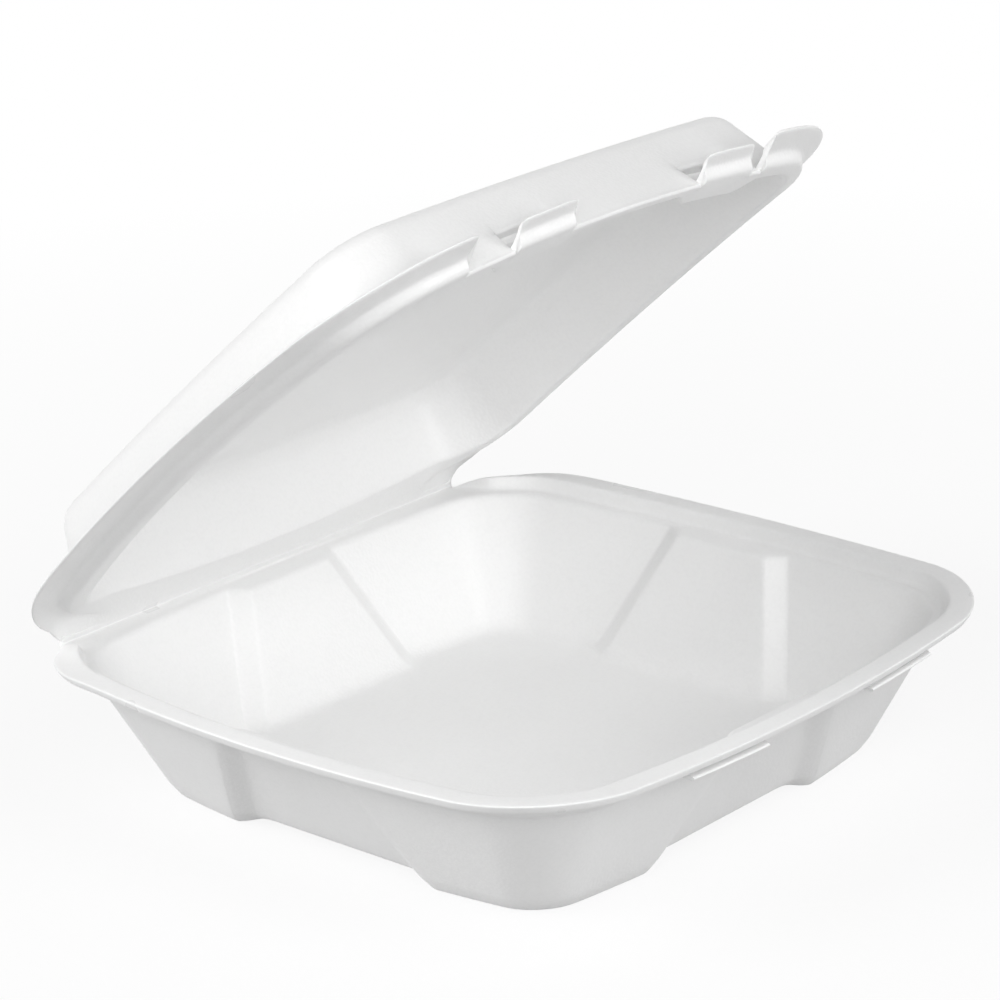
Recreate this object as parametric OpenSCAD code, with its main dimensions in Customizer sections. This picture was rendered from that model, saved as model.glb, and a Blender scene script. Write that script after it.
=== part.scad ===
// Foam hinged lid container: a square tray and a shallow lid, formed from one sheet of white foam.
// Both halves have the same stepped rim and meet at a thin fold line along the back edge.
// X runs along the hinge, the latch side is at -Y, Z is up, and the origin is under the middle of the tray.

/* [Rim] */
// Width of the rim between its corners, along the hinge
rim_w = 223; // [205:1:245]
// Depth of the rim between its corners, front to back
rim_d = 214; // [198:1:236]
// Radius of the rim's corners
rim_r = 33; // [28:1:38]
// How far the middle of each side of the rim swells past its corners
rim_bow = 8.5; // [5:0.5:11]
// Width of the outer flange
flange_w = 8; // [7:0.5:9.5]
// Width of the ledge inside the flange
ledge_w = 4.7; // [3.5:0.1:6]
// Thickness of the foam sheet
foam_t = 2.4; // [2:0.1:3]

/* [Tray] */
// Height of the tray at the corners of its rim
tray_h = 49.5; // [42:0.5:60]
// How far the tray's rim dips at the middle of each side
tray_dip = 1.8; // [0:0.2:3]
// Drop from the flange to the ledge
step_h = 4.7; // [4:0.1:6]
// Depth of the flange's turned-down edge
edge_h = 3; // [2.6:0.1:3.6]
// Width of the floor between its corners
floor_w = 159; // [148:1:170]
// Depth of the floor between its corners
floor_d = 152; // [142:1:162]
// Radius of the floor's corners
floor_r = 11; // [8:1:16]
// How far the middle of each side of the floor swells past its corners
floor_bow = 7.4; // [4:0.2:9]
// Thickness of the floor
floor_t = 3.1; // [2.4:0.1:4]
// Fillet where the walls meet the floor
floor_fillet = 3; // [2:0.5:5]

/* [Wall panels] */
// Width of each sunk wall panel at the rim
panel_top_w = 35; // [28:1:44]
// Width of each sunk wall panel at the floor
panel_bottom_w = 66; // [56:1:76]
// Width of the soft step beside a panel
panel_step = 6.5; // [5:0.5:9]
// How far a panel is sunk into its wall
panel_recess = 4.6; // [3:0.1:5.4]
// How far the underside lifts below each panel
panel_lift = 1.8; // [0.6:0.2:2.4]

/* [Lid] */
// Height of the lid's top above its rim
lid_h = 26; // [22:0.5:36]
// How far the lid's rim arches up at the middle of each side
lid_dip = 3.6; // [0:0.2:5]
// Width of the top panel between its corners
top_w = 180; // [168:1:186]
// Depth of the top panel between its corners
top_d = 173; // [162:1:178]
// Radius of the top panel's corners
top_r = 17; // [12:1:22]
// How far the middle of each side of the top panel swells past its corners
top_bow = 3.8; // [2:0.2:6]
// Crown of the top panel at its middle
top_crown = 1.2; // [0.4:0.2:2.4]
// Depth of the bead that plugs into the tray's step
bead_h = 3.9; // [3:0.1:4.4]
// Width of the bead
bead_w = 8; // [7.4:0.1:9]
// Rise of the lid's flange towards its edge
flare = 1.2; // [0.6:0.2:2]
// Thickness of the lid's flange at its edge
lip_t = 1.5; // [1.2:0.1:2]
// How far the lid stands open
open_angle = 41; // [0:1:110]

/* [Hinge] */
// Length of the fold between its notches
hinge_l = 178; // [150:1:186]
// Thickness of the pressed foam at the fold
hinge_t = 1.4; // [1:0.1:2]
// Length over which each notch rounds off
notch_l = 7; // [5:0.5:10]
// How far the fold lies inside the middle of the rim's back side
hinge_in = 7; // [6:0.5:8]
// How far the fold lies below the corners of the rim
hinge_drop = 5.6; // [5:0.2:6.4]
// Width of the flat strip on each side of the fold
strip_w = 2; // [1.6:0.1:2.4]
// Rise of the lid's strip beside the fold, for each unit of its width
strip_rise = 0.35; // [0.25:0.05:0.45]
// Length of each side over which the flange bends down towards the back
bend_l = 45; // [30:1:60]
// Length over which the lid's bead fades out towards the fold
fade_l = 24; // [16:1:32]

/* [Latch] */
// Place of the middle of the latch along the front
latch_x = 5; // [2:0.5:7]
// Distance between the two latch tabs
latch_pitch = 84; // [78:1:88]
// Length of the front over which the lid's flange is cut away
cut_w = 136; // [130:1:144]
// Width of a latch tab on the lid
tab_w = 25; // [20:0.5:27]
// Height of a latch tab's root above the rim
tab_h = 0.2; // [0.2:0.1:1.2]
// Inset of a latch tab's edge from the rim
tab_in = 4; // [3:0.5:6]
// Rise of a latch tab's lip
tab_flare = 0.8; // [0.4:0.2:1.6]
// Depth of the pocket behind a latch tab
pocket_d = 4; // [3:0.1:4.6]
// Height of the top of a pocket above the rim
pocket_h = 5; // [4:0.5:7]
// Width of the tongue under the tray's flange
tongue_w = 33; // [26:0.5:36]
// Height of the slit above a tongue
slit_h = 2.2; // [1.6:0.1:2.4]
// Thickness of a tongue
tongue_t = 1.2; // [0.9:0.1:1.4]
// Reach of a tongue towards the edge of the flange
tongue_tip = 1.4; // [1:0.1:2]

/* [Clearances] */
// Gap between the two flanges when the lid is shut
shut_gap = 0.5; // [0.4:0.1:1]
// Gap between the lid's bead and the tray's step
bead_gap = 1.2; // [0.8:0.1:2]
// Gap on each side of the fold line
fold_gap = 0.3; // [0.3:0.05:0.5]

/* [Hidden] */
foam_colour = "whitesmoke";
FRONT = 3;
// Length of the sloped end where a lip is cut off
cut_l = 0.5;
// Length over which a pocket's inner face fades out past its tab
pocket_run = 5;
// Rounding of the bends of the rims, and of their edges
soft_r = 0.9;
edge_r = 0.6;
// How far the inner and the outer face of the tray's step lean, and the outer face of the lid's bead
step_lean = 0.7;
face_lean = 1.4;
bead_lean = 1.2;
// Inset and thickness of the lid's bare edge where the flange is cut away
bare_in = 12.6;
bare_t = 1.6;
// Rounding of the tray's foot, and how far in under the floor a panel's lift fades out
foot_r = 2;
lift_run = 14;
// Share of the wall's height at which its outer face starts below the ledge
shoulder = 0.08;
// Fillet between the lid's walls and its top
lid_fillet = 4;
// Points of a moulded fillet, as shares of its size: [inset, rise]
floor_curve = [[0.8, 0], [0.1, 0.3]];
top_curve = [[1.4, 0], [0.3, 0.3]];
// Facets in a front corner and in a back corner
front_facets = 8;
back_facets = 14;

rim_plan = [rim_w / 2, rim_d / 2, rim_r, rim_bow];
floor_plan = [floor_w / 2, floor_d / 2, floor_r, floor_bow];
rim_in = flange_w + ledge_w;
ledge_z = tray_h - step_h;
wall_rise = ledge_z - floor_t;
// Sideways thickness of the tray's sloping wall
wall_skin = foam_t * norm([rim_plan[0] - rim_in - floor_plan[0], wall_rise]) / wall_rise;

hinge_y = rim_d / 2 + rim_bow - hinge_in;
hinge_z = tray_h - hinge_drop;
// Height of the lid's rim above the fold
lid_z = hinge_drop + shut_gap;

bead_in = flange_w + bead_gap;
lid_in = bead_in + bead_w;
top_plan = [top_w / 2, top_d / 2, top_r, top_bow];

function mix(a, b, k) = a + (b - a) * k;
function ease(k) = let (c = min(1, max(0, k))) c * c * (3 - 2 * c);

// A plan is a rounded rectangle with swelling sides: [half width, half depth, corner radius, swell]
function inset(plan, e) = [plan[0] - e, plan[1] - e, max(plan[2] - e, floor_r), plan[3]];

// Stations run anticlockwise round the rim from the right side: [side, place along it, corner angle]
// A station on a straight has no corner angle
function straight(side) = rim_plan[1 - side % 2] - rim_r;
function mirrored(places) = concat([for (i = [len(places) - 1:-1:0]) -places[i]], places);
function panel_places(side) =
    let (half = panel_top_w / 2, end = half + panel_step)
    [half / 2, half, end, (end + straight(side)) / 2];
// Both ends of a cut lip, each with its own short slope
function lip_places(x, w) = [x - w / 2 - cut_l, x - w / 2, x + w / 2, x + w / 2 + cut_l];
function inside(x, middle, w) = abs(x - middle) <= w / 2 + cut_l / 2;
// Puts two rising lists together in order
function merged(a, b) =
    len(a) == 0 ? b :
    len(b) == 0 ? a :
    a[0] <= b[0] ? concat([a[0]], merged([for (i = [1:1:len(a) - 1]) a[i]], b)) :
    concat([b[0]], merged(a, [for (i = [1:1:len(b) - 1]) b[i]]));
function ring(places, corners) = [
    for (side = [0:3]) each concat(
        [for (t = places[side]) [side, t, -1]],
        [for (a = corners[side]) [side, straight(side), a]]
    )
];
function even_arc(n) = [for (i = [0:n]) 90 * i / n];

// Half of the opening in the lid's flange, kept on the straight of the front
cut_x = min(cut_w / 2, straight(FRONT) - 2 * cut_l);
// Distance between the tabs, kept inside that opening
tab_pitch = min(latch_pitch, 2 * (cut_x - latch_x - tab_w / 2 - pocket_run) - 2 * cut_l);
tab_x = [latch_x - tab_pitch / 2, latch_x + tab_pitch / 2];

tray_side = [for (side = [0:3]) mirrored(panel_places(side))];
tongue_ends = [for (x = tab_x) each lip_places(x, tongue_w)];
tray_ring = ring(
    [tray_side[0], tray_side[1], tray_side[2], merged(tray_side[FRONT], tongue_ends)],
    [even_arc(back_facets), even_arc(back_facets), even_arc(front_facets), even_arc(front_facets)]
);

lid_side = [for (side = [0:3]) [for (k = [-0.75:0.25:0.75]) k * straight(side)]];
front_end = 0.95 * straight(FRONT);
latch_ends = concat(
    [-cut_x, -cut_x + cut_l],
    [for (x = tab_x) each merged(lip_places(x, tab_w), [x])],
    [cut_x - cut_l, cut_x]
);
pocket_ends = [for (x = tab_x) each [x - tab_w / 2 - pocket_run, x + tab_w / 2 + pocket_run]];
lid_front = merged(merged(latch_ends, pocket_ends), [-front_end, latch_x, front_end]);
lid_ring = ring(
    [lid_side[0], lid_side[1], lid_side[2], lid_front],
    [even_arc(back_facets), even_arc(back_facets), even_arc(front_facets), even_arc(front_facets)]
);

// Slides a place along the rim to its own place on a plan, so that it keeps beside its panel
// A panel width of 0 means that there is no panel to keep to
function slid(station, plan, panel_w) =
    let (
        t = station[1],
        end = panel_top_w / 2 + panel_step,
        beside = [[panel_top_w / 2, panel_w / 2], [end, panel_w / 2 + panel_step]],
        last = [straight(station[0]), plan[1 - station[0] % 2] - plan[2]],
        map = concat([[0, 0]], panel_w > 0 ? beside : [], [last])
    ) sign(t) * lookup(abs(t), map);

// Place of a station on a plan before its sides swell: [outwards, along]
function plain(station, plan, panel_w) =
    let (hn = plan[station[0] % 2], ht = plan[1 - station[0] % 2], r = plan[2], a = station[2])
    a < 0 ? [hn, slid(station, plan, panel_w)] : [hn - r + r * cos(a), ht - r + r * sin(a)];
// How near a place is to the middle of its side, from 0 at a corner to 1
function middle(station, plan, p) =
    let (hn = plan[station[0] % 2], ht = plan[1 - station[0] % 2])
    min(1, max(0, 2 - pow(p[0] / hn, 2) - pow(p[1] / ht, 2)));
function swollen(station, plan, p) =
    let (hn = plan[station[0] % 2], ht = plan[1 - station[0] % 2])
    [
        p[0] * (1 + plan[3] / hn * (1 - pow(p[1] / ht, 2))),
        p[1] * (1 + plan[3] / ht * (1 - pow(p[0] / hn, 2)))
    ];
function turned(side, p) =
    side == 0 ? p : side == 1 ? [-p[1], p[0]] : side == 2 ? -p : [p[1], -p[0]];

// Share of a wall panel at a station, from 0 on a corner post to 1 on the panel
function panel_share(station) =
    station[2] >= 0 ? 0 : min(1, max(0, (panel_top_w / 2 + panel_step - abs(station[1])) / panel_step));
// Outward place of the flat panel on a plan
function panel_flat(station, plan, panel_w) =
    let (hn = plan[station[0] % 2], ht = plan[1 - station[0] % 2])
    hn + plan[3] * (1 - pow(panel_w / 2 / ht, 2)) - panel_recess;

// Share of the hinge fold at a place, 1 between the notches and 0 past them, over a given run
function fold_share(x, y, run) = y < 0 ? 0 : ease((hinge_l / 2 + notch_l - abs(x)) / run);
// How far a point of the flange bends down: none at its root, most at its edge along the back
function bend(e, y) =
    let (back = min(1, max(0, 1 - (rim_d / 2 - y) / bend_l)), out = min(1, max(0, 1 - e / flange_w)))
    hinge_drop * back * back * out;

// Closed skin through a list of loops, capped at both ends
module skin(loops) {
    n = len(loops[0]);
    last = len(loops) - 1;
    sides = [
        for (j = [0:last - 1], i = [0:n - 1])
            let (a = j * n + i, b = j * n + (i + 1) % n, c = b + n, d = a + n)
            each [[a, b, c], [a, c, d]]
    ];
    first_cap = [for (i = [n - 1:-1:0]) i];
    last_cap = [for (i = [0:n - 1]) last * n + i];
    polyhedron(points = [for (loop = loops) each loop], faces = concat([first_cap], sides, [last_cap]));
}

// One loop of the tray's wall or floor, with its sunk panels
function wall_loop(plan, z, panel_w, dip, lift) = [
    for (s = tray_ring)
        let (
            p = plain(s, plan, panel_w),
            q = swollen(s, plan, p),
            share = panel_share(s),
            flat = [mix(q[0], panel_flat(s, plan, panel_w), share), q[1]],
            xy = turned(s[0], flat)
        ) [xy[0], xy[1], z - tray_dip * dip * middle(s, plan, p) + lift * share]
];
// A loop part way down the wall, from 0 at the ledge to 1 at the floor, on the inner or outer face
function wall_at(k, out) =
    wall_loop(
        inset(mix(inset(rim_plan, rim_in), floor_plan, k), -out),
        mix(ledge_z, floor_t, k) - out * foam_t / wall_skin * 0.5,
        mix(panel_top_w, panel_bottom_w, k),
        1 - min(k, 1),
        0
    );
function on_front(s) = s[0] == FRONT && s[2] < 0;
// Stations of the front where a tongue stands out under the flange
function on_tongue(s) =
    on_front(s) && (inside(s[1], tab_x[0], tongue_w) || inside(s[1], tab_x[1], tongue_w));
// A loop of the tray's rim from one row of its section
// Row: inset, height from the flange, then at the fold the distance in strips, -1 where free, and the depth
// in thicknesses of the fold. A row with two more values gives the inset and height on a tongue
function tray_rim_loop(row) = [
    for (s = tray_ring)
        let (
            at = len(row) > 4 && on_tongue(s) ? [row[4], row[5]] : row,
            plan = inset(rim_plan, at[0]),
            p = plain(s, plan, panel_top_w),
            xy = turned(s[0], swollen(s, plan, p)),
            height = tray_h + at[1] - tray_dip * middle(s, plan, p) - bend(at[0], xy[1]),
            fold = row[2] < 0 ? 0 : fold_share(xy[0], xy[1], notch_l)
        ) [
            xy[0],
            mix(xy[1], hinge_y - fold_gap - strip_w * row[2], fold),
            mix(height, hinge_z - fold_gap / 2 - hinge_t * row[3], fold)
        ]
];

module base_tray() {
    step_in = flange_w - foam_t;
    tongue_top = -foam_t - slit_h;
    tongue_bottom = tongue_top - tongue_t;
    ledge_under = -step_h - foam_t;
    // Outer face of the step, from under the flange to under the ledge
    face_top = [step_in, -foam_t - edge_r, 0.85, 1];
    face_foot = [step_in + face_lean, ledge_under + soft_r, 1.3, 1.8];
    rim = [
        [rim_in - soft_r, -step_h, -1, 0],
        [flange_w + step_lean + soft_r, -step_h, -1, 0],
        [flange_w + step_lean, -step_h + soft_r, 1, 0],
        [flange_w, -soft_r, 0.8, 0],
        [flange_w - soft_r, 0, 0.6, 0],
        [2 * edge_r, 0, 0.3, 0],
        [edge_r / 2, -edge_r, 0, 0],
        [0, -edge_h / 2, 0, 0.5],
        [edge_r / 2, -edge_h, 0, 1],
        [2 * edge_r, -edge_h, 0.25, 1],
        [3 * edge_r, -foam_t, 0.5, 1],
        [step_in - edge_r, -foam_t, 0.7, 1],
        concat(face_top, [step_in, tongue_top]),
        concat(mix(face_top, face_foot, 0.2), [tongue_tip, tongue_top]),
        concat(mix(face_top, face_foot, 0.4), [tongue_tip, tongue_bottom]),
        concat(mix(face_top, face_foot, 0.6), [step_in + soft_r, tongue_bottom]),
        face_foot,
        [step_in + face_lean + soft_r, ledge_under, 1.4, 2.4]
    ];
    // Share of the wall at which the floor's fillet starts
    fillet_k = 1 - floor_fillet / wall_rise;
    foot_plan = inset(mix(inset(rim_plan, rim_in), floor_plan, 1 + floor_t / 2 / wall_rise), -wall_skin);
    floor_loops = [
        for (f = floor_curve * floor_fillet)
            wall_loop(inset(floor_plan, f[0]), floor_t + f[1], panel_bottom_w, 0, 0)
    ];
    color(foam_colour) skin(concat(
        floor_loops,
        [wall_at(fillet_k, 0), wall_at(shoulder / 4, 0)],
        [for (row = rim) tray_rim_loop(row)],
        [wall_at(shoulder, wall_skin), wall_at(fillet_k, wall_skin)],
        [wall_loop(inset(foot_plan, foot_r * 0.3), foot_r * 0.4, panel_bottom_w, 0, panel_lift)],
        [wall_loop(inset(foot_plan, foot_r), 0, panel_bottom_w, 0, panel_lift)],
        [wall_loop(inset(foot_plan, lift_run), 0, panel_bottom_w, 0, 0)]
    ));
}

// Section of the lid's rim from the bead to the groove
// root: height where the flange starts, out: inset of its edge, tip: rise from root to edge
// back: depth of the pocket behind it
// Row: inset, height, then at the fold the distance from it in strips, -1 where free, and the thickness there
function lip(root, out, tip, back) = [
    [bead_in + bead_lean + soft_r, -bead_h, -1, 0],
    [bead_in + bead_lean * 0.7, -bead_h + soft_r, -1, 0],
    [bead_in, root - soft_r, -1, 0],
    [bead_in - soft_r, root, -1, 0],
    [out + soft_r, root + tip, 0.3, 0],
    [out, root + tip + lip_t / 3, 0, 0],
    [out, root + tip + lip_t * 2 / 3, 0, hinge_t * 0.6],
    [out + soft_r, root + tip + lip_t, 0.4, hinge_t],
    [bead_in - edge_r, root + foam_t, -1, foam_t],
    [bead_in + foam_t - edge_r, root + edge_r, -1, foam_t],
    [bead_in + foam_t + edge_r, -bead_h + foam_t, -1, foam_t],
    [bead_in + foam_t + 2 * soft_r + back, -bead_h + foam_t, -1, foam_t]
];
plain_lip = lip(0, 0, flare, 0);
tab_lip = lip(tab_h, tab_in, tab_flare, pocket_d);

// Kind of rim at a station of the lid: part of a latch tab, or bare where the flange is cut away
function is_tab(s) = on_front(s) && (inside(s[1], tab_x[0], tab_w) || inside(s[1], tab_x[1], tab_w));
function is_bare(s) = on_front(s) && abs(s[1]) < cut_x - cut_l / 2 && !is_tab(s);
// Share of a pocket on the lid's inner face, which runs on past the ends of its tab
function pocket_share(s) =
    let (past = min([for (x = tab_x) abs(s[1] - x)]) - tab_w / 2)
    on_front(s) ? min(1, max(0, (pocket_run - past) / (pocket_run - cut_l))) : 0;

inner_foot = [lid_in, -bead_h + 2 * edge_r, -1, 0];
bead_foot = [lid_in - soft_r, -bead_h, -1, 0];
wall_foot = [lid_in - foam_t - edge_r, -bead_h + foam_t + 2 * edge_r, -1, foam_t];
// The lid's bare edge: out along its underside, up round the edge, and back to the wall
bare_low = [bare_in + edge_r, -bead_h, -1, 0];
bare_high = [bare_in + edge_r, -bead_h + bare_t, -1, foam_t];
bare_lip = concat(
    [for (k = [0.25:0.25:1]) mix(bead_foot, bare_low, k)],
    [[bare_in, -bead_h + edge_r, -1, 0], [bare_in, -bead_h + bare_t - edge_r, -1, foam_t], bare_high],
    [for (k = [0.15:0.15:0.75]) mix(bare_high, wall_foot, k)]
);
function lid_row(s, i) = is_bare(s) ? bare_lip[i] : is_tab(s) ? tab_lip[i] : plain_lip[i];
function sunk(row, share) = [row[0] + pocket_d * share, row[1], row[2], row[3]];

// Place of one point of the lid's rim, seen from the fold with the lid shut
function lid_rim_place(s, row) =
    let (
        plan = inset(rim_plan, row[0]),
        p = plain(s, plan, 0),
        xy = turned(s[0], swollen(s, plan, p)),
        height = lid_z + row[1] + lid_dip * middle(s, plan, p) - bend(row[0], xy[1]),
        free = row[2] < 0,
        fold = fold_share(xy[0], xy[1], free ? fade_l : notch_l),
        y = mix(xy[1] - hinge_y, -fold_gap - strip_w * row[2], free ? 0 : fold)
    ) [xy[0], y, mix(height, fold_gap / 2 - strip_rise * (y + fold_gap) + row[3], fold)];
function lid_rim_loop(row) = [for (s = lid_ring) lid_rim_place(s, row)];
// A loop of the lid's wall or top
function lid_loop(plan, z, dip) = [
    for (s = lid_ring)
        let (p = plain(s, plan, 0), xy = turned(s[0], swollen(s, plan, p)))
        [xy[0], xy[1] - hinge_y, lid_z + z + dip * lid_dip * middle(s, plan, p)]
];
// A loop part way up a wall, at a height above the rim
function wall_between(foot, foot_z, head, head_z, z) =
    let (k = (z - foot_z) / (head_z - foot_z))
    [for (i = [0:len(foot) - 1]) mix(foot[i], head[i], k)];

module lid() {
    inner_top = inset(top_plan, foam_t);
    inner_h = lid_h - foam_t;
    inner_head_z = inner_h - lid_fillet * 1.2;
    inner_head = lid_loop(mix(inner_top, inset(rim_plan, lid_in), 0.2), inner_head_z, 0.1);
    head_z = lid_h - lid_fillet;
    head = lid_loop(mix(top_plan, inset(rim_plan, wall_foot[0]), 0.15), head_z, 0.1);
    curve = top_curve * lid_fillet;
    color(foam_colour) translate([0, hinge_y, hinge_z]) rotate([-open_angle, 0, 0]) skin(concat(
        [for (f = curve) lid_loop(inset(inner_top, f[0]), inner_h - f[1], 0)],
        [inner_head],
        [wall_between(lid_rim_loop(inner_foot), inner_foot[1], inner_head, inner_head_z, pocket_h)],
        [[for (s = lid_ring) lid_rim_place(s, sunk(inner_foot, pocket_share(s)))]],
        [[for (s = lid_ring) lid_rim_place(s, sunk(bead_foot, pocket_share(s)))]],
        [for (i = [0:len(plain_lip) - 1]) [for (s = lid_ring) lid_rim_place(s, lid_row(s, i))]],
        [[for (s = lid_ring) lid_rim_place(s, sunk(wall_foot, is_tab(s) ? 1 : 0))]],
        [wall_between(lid_rim_loop(wall_foot), wall_foot[1], head, head_z, pocket_h)],
        [head],
        [for (f = [curve[1], curve[0]]) lid_loop(inset(top_plan, f[0]), lid_h - f[1], 0)],
        [lid_loop(inset(top_plan, top_w / 4), lid_h + top_crown, 0)]
    ));
}

base_tray();
lid();
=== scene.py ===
import bpy
import numpy as np
from mathutils import Matrix, Vector


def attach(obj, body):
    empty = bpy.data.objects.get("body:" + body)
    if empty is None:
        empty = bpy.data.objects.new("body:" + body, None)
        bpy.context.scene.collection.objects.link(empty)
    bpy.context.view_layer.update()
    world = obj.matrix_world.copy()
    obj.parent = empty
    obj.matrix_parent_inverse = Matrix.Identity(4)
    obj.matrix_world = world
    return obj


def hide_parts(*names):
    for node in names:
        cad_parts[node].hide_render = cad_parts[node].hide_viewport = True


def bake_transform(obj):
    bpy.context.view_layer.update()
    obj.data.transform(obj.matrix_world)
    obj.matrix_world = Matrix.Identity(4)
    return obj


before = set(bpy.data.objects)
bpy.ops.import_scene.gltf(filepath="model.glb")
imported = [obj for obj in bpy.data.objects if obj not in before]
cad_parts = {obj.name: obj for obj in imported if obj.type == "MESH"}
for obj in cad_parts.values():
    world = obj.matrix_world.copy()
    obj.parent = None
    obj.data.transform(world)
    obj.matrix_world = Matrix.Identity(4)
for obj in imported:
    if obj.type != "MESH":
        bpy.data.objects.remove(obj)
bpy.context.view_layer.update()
print("frame loaded:", ", ".join(sorted(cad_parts)))

metre = 0.001  # the shapes below are worked out in millimetres
frontSide = 3  # sides run anticlockwise from the right: right, back, left, front

rim = {"width": 223, "depth": 214, "corner": 33, "swell": 8.5, "flange": 8, "ledge": 4.7, "foam": 2.4}

tray = {
    "height": 49.5, "dip": 1.8, "step": 4.7, "stepLean": 0.7, "faceLean": 1.4, "edge": 3,
    "floorWidth": 159, "floorDepth": 152, "floorCorner": 11, "floorSwell": 7.4, "floorFoam": 3.1, "fillet": 3,
    "foot": 2, "panelTop": 35, "panelBottom": 66, "panelStep": 6.5, "panelSunk": 4.6, "panelLift": 1.8, "liftRun": 14,
    "tongueWidth": 33, "slit": 2.2, "tongueFoam": 1.2, "tongueTip": 1.4,
}

lid = {
    "height": 26, "dip": 3.6, "topWidth": 180, "topDepth": 173, "topCorner": 17, "topSwell": 3.8, "crown": 1.2,
    "bead": 3.9, "beadWidth": 8, "beadGap": 1.2, "beadLean": 1.2, "flare": 1.2, "lipFoam": 1.5, "fillet": 4, "open": 41,
    "tabWidth": 23.5, "tabShift": 2, "tabHeight": 0.2, "tabIn": 4, "tabFlare": 0.8,
    "pocketDepth": 4, "pocketHeight": 5, "pocketRun": 8, "bareIn": 12.6, "bareFoam": 1.6,
    "tunnelDepth": 6, "tunnelRise": 0.5, "endThin": 0.75, "endRun": 3, "endRound": 1.2,
}

fold = {
    "length": 178, "foam": 1.4, "notch": 7, "inside": 7, "drop": 5.6, "strip": 2, "rise": 0.35,
    "bend": 45, "fade": 24, "gap": 0.3, "shutGap": 0.5,
}

latch = {"middle": 5, "pitch": 84, "opening": 136, "cut": 0.5}
tabPlaces = [latch["middle"] - latch["pitch"] / 2, latch["middle"] + latch["pitch"] / 2]

bends = {  # rounding of the rims, of the panels' creases and of whole sections, and the angle past which edges stay crisp
    "soft": 0.9, "edge": 0.6, "creaseIn": 0.15, "creaseOut": 0.42, "tray": (0.8, 0.35), "lid": (0.9, 0.4), "crisp": 50,
}

mesher = {"sideStep": 2.4, "apart": 0.3, "cornerSteps": 28, "cutSteps": 4, "creaseSteps": 7, "crease": 1.3}
capShares = [0.03, 0.2, 0.4, 0.6, 0.8, 0.9, 0.96]  # loops across a flat face, from its middle outwards

rimPlan = np.array([rim["width"] / 2, rim["depth"] / 2, rim["corner"], rim["swell"]])
floorPlan = np.array([tray["floorWidth"] / 2, tray["floorDepth"] / 2, tray["floorCorner"], tray["floorSwell"]])
topPlan = np.array([lid["topWidth"] / 2, lid["topDepth"] / 2, lid["topCorner"], lid["topSwell"]])
rimIn = rim["flange"] + rim["ledge"]
ledgeZ = tray["height"] - tray["step"]
wallRise = ledgeZ - tray["floorFoam"]
wallSkin = rim["foam"] * np.hypot(rimPlan[0] - rimIn - floorPlan[0], wallRise) / wallRise  # a wall's foam measured level
hingeY = rim["depth"] / 2 + rim["swell"] - fold["inside"]
hingeZ = tray["height"] - fold["drop"]
lidZ = fold["drop"] + fold["shutGap"]
beadIn = rim["flange"] + lid["beadGap"]
lidIn = beadIn + lid["beadWidth"]


def mix(a, b, k):
    return a + (b - a) * k


def ease(k):  # smooth step from 0 to 1
    c = np.clip(k, 0, 1)
    return c * c * (3 - 2 * c)


def inset(plan, e):
    return np.array([plan[0] - e, plan[1] - e, max(plan[2] - e, tray["floorCorner"]), plan[3]])


def sideStraight(side):  # half length of a side's straight run between its corners
    return rimPlan[1 - side % 2] - rim["corner"]


def makeStations(extraSide, extraFront):
    # one row per place round the rim: side, distance along it, corner angle or -1
    rows = []
    for side in range(4):
        end = sideStraight(side)
        extra = np.concatenate([extraSide, extraFront]) if side == frontSide else extraSide
        along = np.linspace(-end, end, int(2 * end / mesher["sideStep"]))[1:-1]
        if extra.size:
            away = np.abs(along[:, None] - extra[None, :]).min(axis=1) > mesher["apart"]
            along = np.unique(np.round(np.concatenate([along[away], extra]), 4))
        turn = np.radians(np.linspace(0, 90, mesher["cornerSteps"] + 1))
        rows.append(np.column_stack([np.full(along.size, side), along, np.full(along.size, -1.0)]))
        rows.append(np.column_stack([np.full(turn.size, side), np.full(turn.size, end), turn]))
    return np.concatenate(rows).T


def cutPlaces(starts):  # a few places across each short slope where a lip is cut off
    return np.concatenate([np.linspace(s, s + latch["cut"], mesher["cutSteps"]) for s in starts])


def creasePlaces(places):  # a few places close round each crease
    near = np.linspace(-mesher["crease"], mesher["crease"], mesher["creaseSteps"])
    return np.concatenate([place + near for place in places])


def ramp(k, r):  # straight ramp from 0 to 1 whose two bends are rounded over r
    low, high = np.clip(k + r, 0, 2 * r) ** 2 / (4 * r), np.clip(1 + r - k, 0, 2 * r) ** 2 / (4 * r)
    return np.where(k < r, low, np.where(k > 1 - r, 1 - high, k))


def outline(stations, plan, e, panelWidth):
    # rounded rectangle of half sides (a, b): each side is pushed out by swell * (1 - (t / half)^2)
    side, along, angle = stations
    odd = side % 2 == 1
    hx, hy = plan[0] - e, plan[1] - e
    hn, ht = np.where(odd, hy, hx), np.where(odd, hx, hy)
    r = np.maximum(plan[2] - e, tray["floorCorner"])
    straight = np.where(odd, sideStraight(1), sideStraight(0))
    t = np.abs(along)
    if panelWidth:  # keeps a place beside its panel as the panel widens
        half, end = tray["panelTop"] / 2, tray["panelTop"] / 2 + tray["panelStep"]
        a, b = panelWidth / 2, panelWidth / 2 + tray["panelStep"]
        onPanel = t / half * a
        onStep = mix(a, b, (t - half) / tray["panelStep"])
        onPost = mix(b, ht - r, (t - end) / (straight - end))
        t = np.where(t < half, onPanel, np.where(t < end, onStep, onPost))
    else:
        t = t * (ht - r) / straight
    p = np.where(angle < 0, hn, hn - r + r * np.cos(angle))
    q = np.where(angle < 0, np.sign(along) * t, ht - r + r * np.sin(angle))
    middle = np.clip(2 - (p / hn) ** 2 - (q / ht) ** 2, 0, 1)
    out = p * (1 + plan[3] / hn * (1 - (q / ht) ** 2))
    run = q * (1 + plan[3] / ht * (1 - (p / hn) ** 2))
    return out, run, middle, hn, ht


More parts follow.
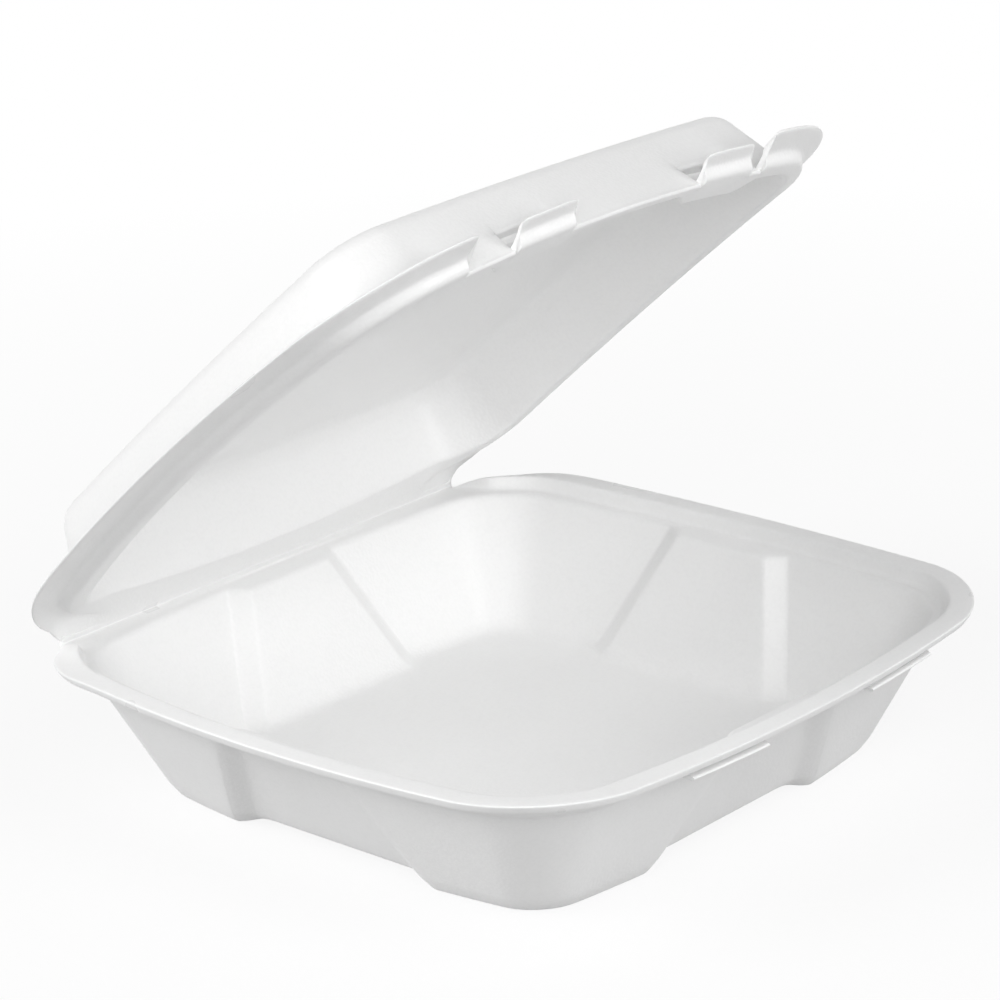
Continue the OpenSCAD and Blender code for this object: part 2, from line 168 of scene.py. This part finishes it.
def turned(side, out, run):
    s = side.astype(int)
    return np.choose(s, [out, -run, -out, run]), np.choose(s, [run, out, -run, -out])


def foldShare(x, y, length):
    return np.where(y < 0, 0, ease((fold["length"] / 2 + fold["notch"] - np.abs(x)) / length))


def bend(e, y):  # the flange bends down towards the back: drop * back^2 * (1 - inset / flange)
    back = np.clip(1 - (rim["depth"] / 2 - y) / fold["bend"], 0, 1)
    return fold["drop"] * back * back * np.clip(1 - e / rim["flange"], 0, 1)


def within(along, middle, width):  # 1 between the ends of a lip, 0 past its short slopes
    return np.clip((width / 2 + latch["cut"] - np.abs(along - middle)) / latch["cut"], 0, 1)


def rounded(rows, reach):
    # cuts each corner of the section at most reach from it, along the rows
    step = np.linalg.norm(np.diff(rows[..., :3], axis=0), axis=2, keepdims=True)
    share = np.minimum(0.25, reach / np.maximum(step, 1e-6))
    near, far = mix(rows[:-1], rows[1:], share), mix(rows[1:], rows[:-1], share)
    cut = np.stack([near, far], axis=1).reshape(-1, *rows.shape[1:])
    return np.concatenate([rows[:1], cut, rows[-1:]])


def shrunk(loop, shares):  # loops that close in on the middle of a flat face
    centre = loop.mean(axis=0)
    return [mix(centre, loop, share) for share in shares]


def meshFromLoops(name, rows, turnOver=False):
    # a grid of loops by stations, closed round and capped by a point at both ends
    # columns: x, y, z and how hard the foam is pressed there
    # turnOver lists each face the other way round, so that it points outwards on a shape drawn upside down
    count, n = rows.shape[:2]
    points = np.concatenate([rows.reshape(-1, 4), rows[:1].mean(axis=1), rows[-1:].mean(axis=1)])
    j, i = np.meshgrid(np.arange(count - 1), np.arange(n), indexing="ij")
    a, b = j * n + i, j * n + (i + 1) % n
    quads = np.stack([a, a + n, b + n, b], axis=-1).reshape(-1, 4)
    ring, nextOne = np.arange(n), (np.arange(n) + 1) % n
    first, last = count * n, count * n + 1
    firstCap = np.column_stack([ring, nextOne, np.full(n, first)])
    lastCap = np.column_stack([nextOne, ring, np.full(n, last)]) + [(count - 1) * n, (count - 1) * n, 0]
    if turnOver:
        quads, firstCap, lastCap = quads[:, [0, 3, 2, 1]], firstCap[:, [0, 2, 1]], lastCap[:, [0, 2, 1]]
    mesh = bpy.data.meshes.new(name)
    faces = quads.tolist() + firstCap.tolist() + lastCap.tolist()
    mesh.from_pydata((points[:, :3] * metre).tolist(), [], faces)
    mesh.attributes.new("pressed", "FLOAT", "POINT").data.foreach_set("value", points[:, 3].astype(np.float32))
    mesh.shade_smooth()
    mesh.set_sharp_from_angle(angle=np.radians(bends["crisp"]))  # the cut ends of the lips stay crisp
    piece = bpy.data.objects.new(name, mesh)
    bpy.context.scene.collection.objects.link(piece)
    return piece


def wallLoop(stations, plan, z, panelWidth, dip, lift, bent=bends["creaseIn"]):
    # the plan's outline, with each panel pressed flat and its lower edge lifted
    out, run, middle, hn, ht = outline(stations, plan, 0, panelWidth)
    side, along, angle = stations
    share = ramp((tray["panelTop"] / 2 + tray["panelStep"] - np.abs(along)) / tray["panelStep"], bent)
    share = np.where(angle < 0, share, 0)
    flat = hn + plan[3] * (1 - (panelWidth / 2 / ht) ** 2) - tray["panelSunk"]
    x, y = turned(side, mix(out, flat, share), run)
    return np.column_stack([x, y, z - tray["dip"] * dip * middle + lift * share, np.zeros(x.size)])


def trayWall(stations, k, out):
    # the wall goes straight from the ledge to the floor, and its outside lies the foam's thickness further out
    plan = inset(mix(inset(rimPlan, rimIn), floorPlan, k), -out * wallSkin)
    z = mix(ledgeZ, tray["floorFoam"], k) - out * rim["foam"] * 0.5
    panelWidth = mix(tray["panelTop"], tray["panelBottom"], k)
    return wallLoop(stations, plan, z, panelWidth, 1 - min(k, 1), 0, mix(bends["creaseIn"], bends["creaseOut"], out))


def trayRimLoop(stations, row, onTongue=None):
    # row: inset, height, then at the fold the distance in strips, -1 where free, and the depth in its thicknesses
    side, along, angle = stations
    e, z = np.full(along.size, float(row[0])), np.full(along.size, float(row[1]))
    if onTongue is not None:
        onFront = (side == frontSide) & (angle < 0)
        k = np.where(onFront, sum(within(along, x, tray["tongueWidth"]) for x in tabPlaces), 0)
        e, z = mix(e, onTongue[0], k), mix(z, onTongue[1], k)
    out, run, middle, hn, ht = outline(stations, rimPlan, e, tray["panelTop"])
    x, y = turned(side, out, run)
    up = tray["height"] + z - tray["dip"] * middle - bend(e, y)
    pressed = np.clip(2 - e / 1.5, 0, 1)
    if row[2] >= 0:
        share = foldShare(x, y, fold["notch"])
        y = mix(y, hingeY - fold["gap"] - fold["strip"] * row[2], share)
        up = mix(up, hingeZ - fold["gap"] / 2 - fold["foam"] * row[3], share)
        pressed = np.maximum(pressed, share)
    return np.column_stack([x, y, up, pressed])


def makeTray():
    foam, soft, edge = rim["foam"], bends["soft"], bends["edge"]
    tongueEnds = cutPlaces([x + s * (tray["tongueWidth"] / 2 + latch["cut"] / 2) - latch["cut"] / 2
                            for x in tabPlaces for s in (-1, 1)])
    half = tray["panelTop"] / 2
    creases = creasePlaces([-half - tray["panelStep"], -half, half, half + tray["panelStep"]])
    stations = makeStations(creases, tongueEnds)
    stepIn = rim["flange"] - foam
    tongueTop = -foam - tray["slit"]
    tongueLow = tongueTop - tray["tongueFoam"]
    under = -tray["step"] - foam
    lean = stepIn + tray["faceLean"]
    faceTop = np.array([stepIn, -foam - edge, 0.85, 1])
    faceFoot = np.array([lean, under + soft, 1.3, 1.8])
    section = [
        (rimIn - soft, -tray["step"], -1, 0),
        (rim["flange"] + tray["stepLean"] + soft, -tray["step"], -1, 0),
        (rim["flange"] + tray["stepLean"], -tray["step"] + soft, 1, 0),
        (rim["flange"], -soft, 0.8, 0),
        (rim["flange"] - soft, 0, 0.6, 0),
        (edge, 0, 0.3, 0),
        (edge / 4, -edge / 4, 0, 0),
        (0, -edge, 0, 0.5),  # from here the edge slopes in under itself
        (2 * edge, -tray["edge"], 0, 1),
        (3 * edge, -tray["edge"], 0.25, 1),
        (4 * edge, -foam, 0.5, 1),
        (stepIn - edge, -foam, 0.7, 1),
        faceTop, mix(faceTop, faceFoot, 0.2), mix(faceTop, faceFoot, 0.4), mix(faceTop, faceFoot, 0.6), faceFoot,
        (lean + soft, under, 1.4, 2.4),
    ]
    tip = tray["tongueTip"]
    tongue = {12: (stepIn, tongueTop), 13: (tip, tongueTop), 14: (tip, tongueLow), 15: (stepIn + soft, tongueLow)}
    fillet, floorFoam, wide, foot = tray["fillet"], tray["floorFoam"], tray["panelBottom"], tray["foot"]
    filletK = 1 - fillet / wallRise
    footPlan = inset(mix(inset(rimPlan, rimIn), floorPlan, 1 + floorFoam / 2 / wallRise), -wallSkin)
    floorEdge = wallLoop(stations, inset(floorPlan, fillet * 0.8), floorFoam, wide, 0, 0)
    underEdge = wallLoop(stations, inset(footPlan, tray["liftRun"]), 0, wide, 0, 0)
    loops = shrunk(floorEdge, capShares)
    loops += [floorEdge, wallLoop(stations, inset(floorPlan, fillet * 0.1), floorFoam + fillet * 0.3, wide, 0, 0)]
    loops += [trayWall(stations, k, 0) for k in (filletK, 0.75, 0.5, 0.25, 0.08, 0.02)]
    loops += [trayRimLoop(stations, row, tongue.get(i)) for i, row in enumerate(section)]
    loops += [trayWall(stations, k, 1) for k in (0.08, 0.25, 0.5, 0.75, filletK)]
    for e, z in ((foot * 0.3, foot * 0.4), (foot, 0)):
        loops.append(wallLoop(stations, inset(footPlan, e), z, wide, 0, tray["panelLift"], bends["creaseOut"]))
    loops += [underEdge] + shrunk(underEdge, [0.8, 0.5, 0.2, 0.03])
    first, second = bends["tray"]
    return meshFromLoops("foamTray", rounded(rounded(np.stack(loops), first), second))


def lidSection(root, out, tip, back):
    # rows from the bead to the groove: inset, height, distance from the fold in strips or -1, thickness there
    foam, bead, thin, soft, edge = rim["foam"], lid["bead"], lid["lipFoam"], bends["soft"], bends["edge"]
    return np.array([
        (beadIn + lid["beadLean"] + soft, -bead, -1, 0),
        (beadIn + lid["beadLean"] * 0.7, -bead + soft, -1, 0),
        (beadIn, root - soft, -1, 0),
        (beadIn - soft, root, -1, 0),
        (out + soft, root + tip, 0.3, 0),
        (out, root + tip + thin / 3, 0, 0),
        (out, root + tip + thin * 2 / 3, 0, fold["foam"] * 0.6),
        (out + soft, root + tip + thin, 0.4, fold["foam"]),
        (beadIn - edge, root + foam, -1, foam),
        (beadIn + foam - edge, root + edge, -1, foam),
        (beadIn + foam + edge, -bead + foam, -1, foam),
        (beadIn + foam + 2 * soft + back, -bead + foam, -1, foam),
    ])


def lidRimLoop(stations, e, z, foldIn, thickness):
    # a loop of the lid's rim, seen from the fold with the lid shut
    out, run, middle, hn, ht = outline(stations, rimPlan, e, 0)
    x, y = turned(stations[0], out, run)
    up = lidZ + z + lid["dip"] * middle - bend(e, y)
    free = foldIn < 0
    share = foldShare(x, y, fold["fade"] if free else fold["notch"])
    y = y - hingeY
    if not free:
        y = mix(y, -fold["gap"] - fold["strip"] * foldIn, share)
    strip = fold["gap"] / 2 - fold["rise"] * (y + fold["gap"]) + thickness
    pressed = np.maximum(np.clip(2 - e / 1.5, 0, 1), 0 if free else share)
    return np.column_stack([x, y, mix(up, strip, share), pressed])


def lidLoop(stations, plan, z, dip):
    out, run, middle, hn, ht = outline(stations, plan, 0, 0)
    x, y = turned(stations[0], out, run)
    return np.column_stack([x, y - hingeY, lidZ + z + dip * lid["dip"] * middle, np.zeros(x.size)])


def opened(points):  # turns what is drawn shut about the fold line, to where the lid stands open
    a = np.radians(lid["open"])
    x, y, z, pressed = np.moveaxis(points, -1, 0)
    turnedY, turnedZ = y * np.cos(a) + z * np.sin(a), z * np.cos(a) - y * np.sin(a)
    return np.stack([x, hingeY + turnedY, hingeZ + turnedZ, pressed], axis=-1)


def makeLid():
    cut, foam, fillet, high = latch["cut"], rim["foam"], lid["fillet"], lid["height"]
    bead, soft, edge, half = lid["bead"], bends["soft"], bends["edge"], lid["tabWidth"] / 2
    tabs = [x + lid["tabShift"] for x in tabPlaces]
    starts = [-latch["opening"] / 2, latch["opening"] / 2 - cut]
    starts += [x + s for x in tabs for s in (-half - cut, half)]
    near = np.array([0.7, 1.4, 2.2, 3.2])
    nearEnds = [x + s * (half - near) for x in tabs for s in (-1, 1)]
    nearEnds += [s * (latch["opening"] / 2 + near) for s in (-1, 1)]
    stations = makeStations(np.array([]), np.concatenate([cutPlaces(starts)] + nearEnds))
    side, along, angle = stations
    onFront = (side == frontSide) & (angle < 0)
    past = np.min([np.abs(along - x) for x in tabs], axis=0) - half
    tab = np.where(onFront, np.clip(1 - past / cut, 0, 1), 0)
    pocket = np.where(onFront, ease((lid["pocketRun"] - past) / (lid["pocketRun"] - cut)), 0)
    bare = np.where(onFront, np.clip((latch["opening"] / 2 - np.abs(along)) / cut, 0, 1) - tab, 0)
    plain = 1 - tab - bare
    weights = [plain, tab, bare]
    tabEnd = np.clip(1 + past / lid["endRun"], 0, 1) ** 2  # 1 at a lip's end, 0 further along it
    plainEnd = np.clip(1 - (np.abs(along) - latch["opening"] / 2) / lid["endRun"], 0, 1) ** 2
    thin = np.where(onFront, tab * tabEnd + plain * plainEnd, 0)
    plainLip = lidSection(0, 0, lid["flare"], 0)
    tabLip = lidSection(lid["tabHeight"], lid["tabIn"], lid["tabFlare"], lid["pocketDepth"])
    innerFoot, beadFoot = (lidIn, -bead + 2 * edge), np.array([lidIn - soft, -bead])
    wallFoot = np.array([lidIn - foam - edge, -bead + foam + 2 * edge])
    low, top = np.array([lid["bareIn"] + edge, -bead]), np.array([lid["bareIn"] + edge, -bead + lid["bareFoam"]])
    bareLip = [mix(beadFoot, low, k) for k in (0.25, 0.5, 0.75, 1)]
    bareLip += [(lid["bareIn"], -bead + edge), (lid["bareIn"], -bead + lid["bareFoam"] - edge), top]
    bareLip += [mix(top, wallFoot, k) for k in (0.15, 0.3, 0.45, 0.6, 0.75)]
    shapes = np.stack([plainLip[:, :2], tabLip[:, :2], np.array(bareLip)])
    rows = np.einsum("ks,krc->rcs", np.stack(weights), shapes)  # each row of the section at each place round the rim
    back = np.arange(6, 11)  # each lies behind the row 11 - back: the foam is pinched thin at the ends of the lips
    rows[back] = mix(rows[back], rows[11 - back], lid["endThin"] * thin)
    rows[4:8, 0] += lid["endRound"] * thin
    deep, one = lid["tunnelDepth"], np.ones(along.size)
    sunk, sunkInside = deep * tab, deep * pocket
    innerTop = inset(topPlan, foam)
    innerEdge = lidLoop(stations, inset(innerTop, fillet * 1.4), high - foam, 0)
    innerHeadZ, headZ = high - foam - fillet * 1.2, high - fillet
    innerHead = lidLoop(stations, mix(innerTop, inset(rimPlan, lidIn), 0.2), innerHeadZ, 0.1)
    head = lidLoop(stations, mix(topPlan, inset(rimPlan, wallFoot[0]), 0.15), headZ, 0.1)
    innerLow = lidRimLoop(stations, innerFoot[0] * one, innerFoot[1], -1, 0)
    outerLow = lidRimLoop(stations, wallFoot[0] * one, wallFoot[1], -1, foam)
    innerBrow = mix(innerLow, innerHead, (lid["pocketHeight"] - innerFoot[1]) / (innerHeadZ - innerFoot[1]))
    browZ = lid["pocketHeight"] + lid["tunnelRise"] * tab
    brow = mix(outerLow, head, ((browZ - wallFoot[1]) / (headZ - wallFoot[1]))[:, None])
    crown = lidLoop(stations, inset(topPlan, lid["topWidth"] / 4), high + lid["crown"], 0)
    loops = shrunk(innerEdge, capShares) + [innerEdge]
    loops += [lidLoop(stations, inset(innerTop, fillet * 0.3), high - foam - fillet * 0.3, 0)]
    loops += [mix(innerHead, innerBrow, k) for k in (0, 0.5, 1)]
    sunkInner = lidRimLoop(stations, innerFoot[0] + sunkInside, innerFoot[1], -1, 0)
    loops += [mix(innerBrow, sunkInner, 0.5), sunkInner]
    loops += [lidRimLoop(stations, beadFoot[0] + sunkInside, beadFoot[1], -1, 0)]
    loops += [lidRimLoop(stations, e, z, s[2], s[3]) for (e, z), s in zip(rows, plainLip)]
    sunkOuter = lidRimLoop(stations, wallFoot[0] + sunk, wallFoot[1], -1, foam)
    under = mix(outerLow, brow, 0.8) + (sunkOuter - outerLow) * 0.9  # the tunnel's roof lies close above this loop
    loops += [sunkOuter, mix(sunkOuter, under, 0.5), under]
    loops += [mix(brow, head, k) for k in (0, 0.5, 1)]
    loops += [lidLoop(stations, inset(topPlan, fillet * 0.3), high - fillet * 0.3, 0)]
    topEdge = lidLoop(stations, inset(topPlan, fillet * 1.4), high, 0)
    loops += [topEdge] + [mix(topEdge, crown, k) for k in (0.2, 0.5, 0.8, 1)] + shrunk(crown, [0.6, 0.3, 0.03])
    first, second = bends["lid"]
    return meshFromLoops("foamLid", opened(rounded(rounded(np.stack(loops), first), second)), turnOver=True)


def makeFoldStrip():
    # the pressed strip that joins both halves: a thin closed section carried along x, whose two sides part at its ends
    t, gap, rise = fold["foam"], fold["gap"], fold["rise"]
    thin, back = t - strip["bite"], strip["back"]
    half = fold["length"] / 2 + strip["past"]
    across = strip["reach"] * np.array([1, 0.7, 0.35, 0])  # from the edge of either side to the fold
    lift = strip["proud"] * np.array([-1, 0.5, 1, 1])
    x = half * np.sin(np.linspace(-np.pi / 2, np.pi / 2, strip["steps"]))  # closer together at the ends
    free = 1 - ease((fold["length"] / 2 + fold["notch"] - np.abs(x)) / fold["notch"])[:, None, None]
    onTray, onLid = free * strip["partTray"], free * strip["partLid"]
    a = np.radians(lid["open"])
    turn = np.array([[np.cos(a), -np.sin(a)], [np.sin(a), np.cos(a)]])  # the lid's side stands open
    trayTop = np.column_stack([-gap - across, lift - gap / 2]) + onTray
    trayLow = np.column_stack([-gap - across, 0 * across - gap / 2 - thin]) + onTray
    lidLow = (np.column_stack([-gap - across, gap / 2 + rise * across - lift])[::-1] + onLid) @ turn
    lidTop = (np.column_stack([-gap - across, gap / 2 + rise * across + thin])[::-1] + onLid) @ turn
    behind = np.array([[back, -t * 0.5], [back * 1.2, t * 0.2]]) + onTray
    outer = np.concatenate([trayLow, behind, lidTop], axis=1)
    loop = np.concatenate([trayTop, lidLow, outer[:, ::-1]], axis=1)
    closed = np.maximum(ease((half - np.abs(x)) / strip["close"]), strip["blunt"])  # the ends close to a blunt point
    loop = mix(behind.mean(axis=1, keepdims=True) * [0.3, 1], loop, closed[:, None, None])
    rows = np.ones((*loop.shape[:2], 4))
    rows[..., 0] = x[:, None]
    rows[..., 1:3] = loop + [hingeY, hingeZ]
    return meshFromLoops("foldStrip", rows)


def newGroup(name, inputs, outputs):
    group = bpy.data.node_groups.new(name, "ShaderNodeTree")
    for socket, kind, value in inputs:
        made = group.interface.new_socket(socket, in_out="INPUT", socket_type=kind)
        if value is not None:
            made.default_value = value
    for socket in outputs:
        group.interface.new_socket(socket, in_out="OUTPUT", socket_type="NodeSocketFloat")
    return group, group.nodes.new("NodeGroupInput"), group.nodes.new("NodeGroupOutput")


def mathNode(tree, operation, first, second):
    node = tree.nodes.new("ShaderNodeMath")
    node.operation = operation
    for socket, value in zip(node.inputs, (first, second)):
        if isinstance(value, (int, float)):
            socket.default_value = value
        else:
            tree.links.new(value, socket)
    return node.outputs[0]


def rangeNode(tree, value, low, high, newLow, newHigh):
    node = tree.nodes.new("ShaderNodeMapRange")
    tree.links.new(value, node.inputs["Value"])
    for socket, number in zip(("From Min", "From Max", "To Min", "To Max"), (low, high, newLow, newHigh)):
        node.inputs[socket].default_value = number
    return node.outputs["Result"]


def beadGrainGroup():
    # swollen beads of foam: rounded cells with a finer grain over them, and slow clouds of density
    inputs = [("Vector", "NodeSocketVector", None), ("Bead", "NodeSocketFloat", 900.0), ("Grain", "NodeSocketFloat", 0.5)]
    group, given, out = newGroup("beadGrain", inputs, ["Height", "Cloud", "Seam"])
    cells = group.nodes.new("ShaderNodeTexVoronoi")
    cells.feature = "F1"
    grain = group.nodes.new("ShaderNodeTexNoise")
    grain.inputs["Detail"].default_value = 3.0
    cloud = group.nodes.new("ShaderNodeTexNoise")
    cloud.inputs["Scale"].default_value = 38.0
    cloud.inputs["Detail"].default_value = 2.0
    for node in (cells, grain, cloud):
        group.links.new(given.outputs["Vector"], node.inputs["Vector"])
    group.links.new(given.outputs["Bead"], cells.inputs["Scale"])
    group.links.new(mathNode(group, "MULTIPLY", given.outputs["Bead"], 0.45), grain.inputs["Scale"])
    dome = rangeNode(group, cells.outputs["Distance"], 0.0, 0.75, 1.0, 0.0)
    fine = mathNode(group, "MULTIPLY", grain.outputs["Fac"], given.outputs["Grain"])
    group.links.new(mathNode(group, "ADD", dome, fine), out.inputs["Height"])
    group.links.new(cloud.outputs["Fac"], out.inputs["Cloud"])
    group.links.new(rangeNode(group, cells.outputs["Distance"], 0.45, 0.8, 0.0, 1.0), out.inputs["Seam"])
    return group


def foamMaterial(name, look, grainGroup):
    material = bpy.data.materials.new(name)
    material.use_nodes = True
    tree = material.node_tree
    shader = tree.nodes["Principled BSDF"]
    place = tree.nodes.new("ShaderNodeTexCoord")
    grain = tree.nodes.new("ShaderNodeGroup")
    grain.node_tree = grainGroup
    grain.inputs["Bead"].default_value = look["bead"]
    grain.inputs["Grain"].default_value = look["grain"]
    tree.links.new(place.outputs["Object"], grain.inputs["Vector"])
    pressed = tree.nodes.new("ShaderNodeAttribute")
    pressed.attribute_name = "pressed"
    hard = pressed.outputs["Fac"]
    colour = tree.nodes.new("ShaderNodeMix")
    colour.data_type = "RGBA"
    colour.inputs["A"].default_value = look["colour"]
    colour.inputs["B"].default_value = look["shade"]
    shadeAmount = mathNode(tree, "ADD", mathNode(tree, "MULTIPLY", grain.outputs["Seam"], look["seam"]),
                           mathNode(tree, "MULTIPLY", grain.outputs["Cloud"], look["cloud"]))
    tree.links.new(shadeAmount, colour.inputs["Factor"])
    tree.links.new(colour.outputs["Result"], shader.inputs["Base Color"])
    rough = rangeNode(tree, grain.outputs["Cloud"], 0.3, 0.7, look["roughLow"], look["roughHigh"])
    gloss = mathNode(tree, "MULTIPLY", hard, look["pressGloss"])
    tree.links.new(mathNode(tree, "SUBTRACT", rough, gloss), shader.inputs["Roughness"])
    soft = rangeNode(tree, hard, 0.0, 1.0, 1.0, look["pressFlat"])
    bump = tree.nodes.new("ShaderNodeBump")
    bump.inputs["Strength"].default_value = look["strength"]
    bump.inputs["Distance"].default_value = look["height"]
    tree.links.new(mathNode(tree, "MULTIPLY", grain.outputs["Height"], soft), bump.inputs["Height"])
    tree.links.new(bump.outputs["Normal"], shader.inputs["Normal"])
    shader.inputs["IOR"].default_value = look["ior"]
    return material


strip = {
    "reach": 1.9, "proud": 0.1, "bite": 0.12, "past": 2.8, "close": 1.2, "blunt": 0.05, "back": 0.5, "steps": 90,
    "blend": 0.6, "partTray": np.array([-1.8, -0.55]), "partLid": np.array([-1.8, 3.4]),
}

foamLook = {
    "colour": (0.93, 0.93, 0.928, 1), "shade": (0.87, 0.87, 0.87, 1), "seam": 0.25, "cloud": 0.2,
    "bead": 900.0, "grain": 0.5, "strength": 0.3, "height": 0.00016,
    "roughLow": 0.30, "roughHigh": 0.40, "pressGloss": 0.04, "pressFlat": 0.35,
    "ior": 1.45,
}

trayPiece = makeTray()
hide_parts("base_tray")
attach(trayPiece, "tray")
print("tray:", len(trayPiece.data.polygons), "faces")

lidPiece = makeLid()
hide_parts("lid")
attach(lidPiece, "cover")
print("lid:", len(lidPiece.data.polygons), "faces")

stripPiece = makeFoldStrip()
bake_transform(stripPiece)
print("fold strip:", len(stripPiece.data.polygons), "faces")

foam = foamMaterial("whiteFoam", foamLook, beadGrainGroup())
for piece in (trayPiece, lidPiece, stripPiece):
    piece.data.materials.append(foam)
print("foam finish done")

studio = {
    "world": 0.0, "floorSize": 8.0, "floorColour": (0.92, 0.92, 0.925, 1), "floorBounce": (0.45, 0.45, 0.45, 1),
    "floorNear": 0.88, "floorReach": (0.2, 0.7), "floorRough": 0.9, "middle": (0, 0, 0.1),
    "lamps": [  # name, direction from the object, distance, width, watts
        ("leftBox", (-0.80, 0.58, 0.50), 1.7, 1.1, 19.5),
        ("nearBox", (-0.72, -0.63, 0.40), 1.7, 1.1, 11.0),
        ("frontBox", (0.30, -0.95, 0.36), 1.7, 1.1, 11.0),
        ("highBox", (0.10, -0.70, 1.00), 1.7, 1.1, 8.0),
    ],
}


def cameraSees(tree):  # 1 where the ray comes from the camera or passes by a mirror or glass
    path = tree.nodes.new("ShaderNodeLightPath")
    seen = mathNode(tree, "MAXIMUM", path.outputs["Is Camera Ray"], path.outputs["Is Glossy Ray"])
    return mathNode(tree, "MAXIMUM", seen, path.outputs["Is Transmission Ray"])


def makeStudio():
    scene = bpy.context.scene
    world = bpy.data.worlds.new("paleRoom")
    world.use_nodes = True
    scene.world = world
    tree = world.node_tree
    room = tree.nodes["Background"]
    room.inputs["Color"].default_value = (1, 1, 1, 1)
    strength = rangeNode(tree, cameraSees(tree), 0.0, 1.0, studio["world"], 1.0)
    tree.links.new(strength, room.inputs["Strength"])
    half = studio["floorSize"] / 2
    mesh = bpy.data.meshes.new("paleFloor")
    mesh.from_pydata([(-half, -half, 0), (half, -half, 0), (half, half, 0), (-half, half, 0)], [], [(0, 1, 2, 3)])
    floor = bpy.data.objects.new("paleFloor", mesh)
    scene.collection.objects.link(floor)
    material = bpy.data.materials.new("paleFloor")
    material.use_nodes = True
    tree = material.node_tree
    shader = tree.nodes["Principled BSDF"]
    colour = tree.nodes.new("ShaderNodeMix")  # pale where it is seen, greyer in what it throws back
    colour.data_type = "RGBA"
    tree.links.new(cameraSees(tree), colour.inputs["Factor"])
    colour.inputs["A"].default_value = studio["floorBounce"]
    colour.inputs["B"].default_value = studio["floorColour"]
    tree.links.new(colour.outputs["Result"], shader.inputs["Base Color"])
    shader.inputs["Roughness"].default_value = studio["floorRough"]
    glow = tree.nodes.new("ShaderNodeEmission")  # white, and near the object mixed with the lit floor and its shadow
    place = tree.nodes.new("ShaderNodeTexCoord")
    far = tree.nodes.new("ShaderNodeVectorMath")
    far.operation = "LENGTH"
    tree.links.new(place.outputs["Object"], far.inputs[0])
    white = rangeNode(tree, far.outputs["Value"], *studio["floorReach"], studio["floorNear"], 1.0)
    both = tree.nodes.new("ShaderNodeMixShader")
    tree.links.new(mathNode(tree, "MULTIPLY", cameraSees(tree), white), both.inputs[0])
    tree.links.new(shader.outputs[0], both.inputs[1])
    tree.links.new(glow.outputs[0], both.inputs[2])
    tree.links.new(both.outputs[0], tree.nodes["Material Output"].inputs["Surface"])
    mesh.materials.append(material)
    for name, direction, distance, width, watts in studio["lamps"]:
        lamp = bpy.data.lights.new(name, "AREA")
        lamp.shape = "DISK"
        lamp.size = width
        lamp.energy = watts
        holder = bpy.data.objects.new(name, lamp)
        away = Vector(direction).normalized()
        holder.location = Vector(studio["middle"]) + away * distance
        holder.rotation_euler = away.to_track_quat("Z", "Y").to_euler()
        scene.collection.objects.link(holder)


view = {"azimuth": -48.43, "elevation": 19.56, "roll": -1.94, "aim": (0.01146, 0.01533, 0.08133),
        "distance": 1.23915, "lens": 143.55}


def makeCamera():
    a, e, r = np.radians([view["azimuth"], view["elevation"], view["roll"]])
    back = Vector((np.sin(a) * np.cos(e), -np.cos(a) * np.cos(e), np.sin(e)))
    right = Vector((0, 0, 1)).cross(back).normalized()
    up = back.cross(right)
    tilted = right * np.cos(r) + up * np.sin(r)
    data = bpy.data.cameras.new("photoView")
    data.lens = view["lens"]
    data.sensor_width = 36
    holder = bpy.data.objects.new("photoView", data)
    axes = Matrix((tilted, back.cross(tilted), back)).transposed()
    holder.matrix_world = Matrix.Translation(Vector(view["aim"]) + back * view["distance"]) @ axes.to_4x4()
    bpy.context.scene.collection.objects.link(holder)
    bpy.context.scene.camera = holder


makeStudio()
makeCamera()
bpy.context.scene.view_settings.view_transform = "Standard"
print("studio and camera done")
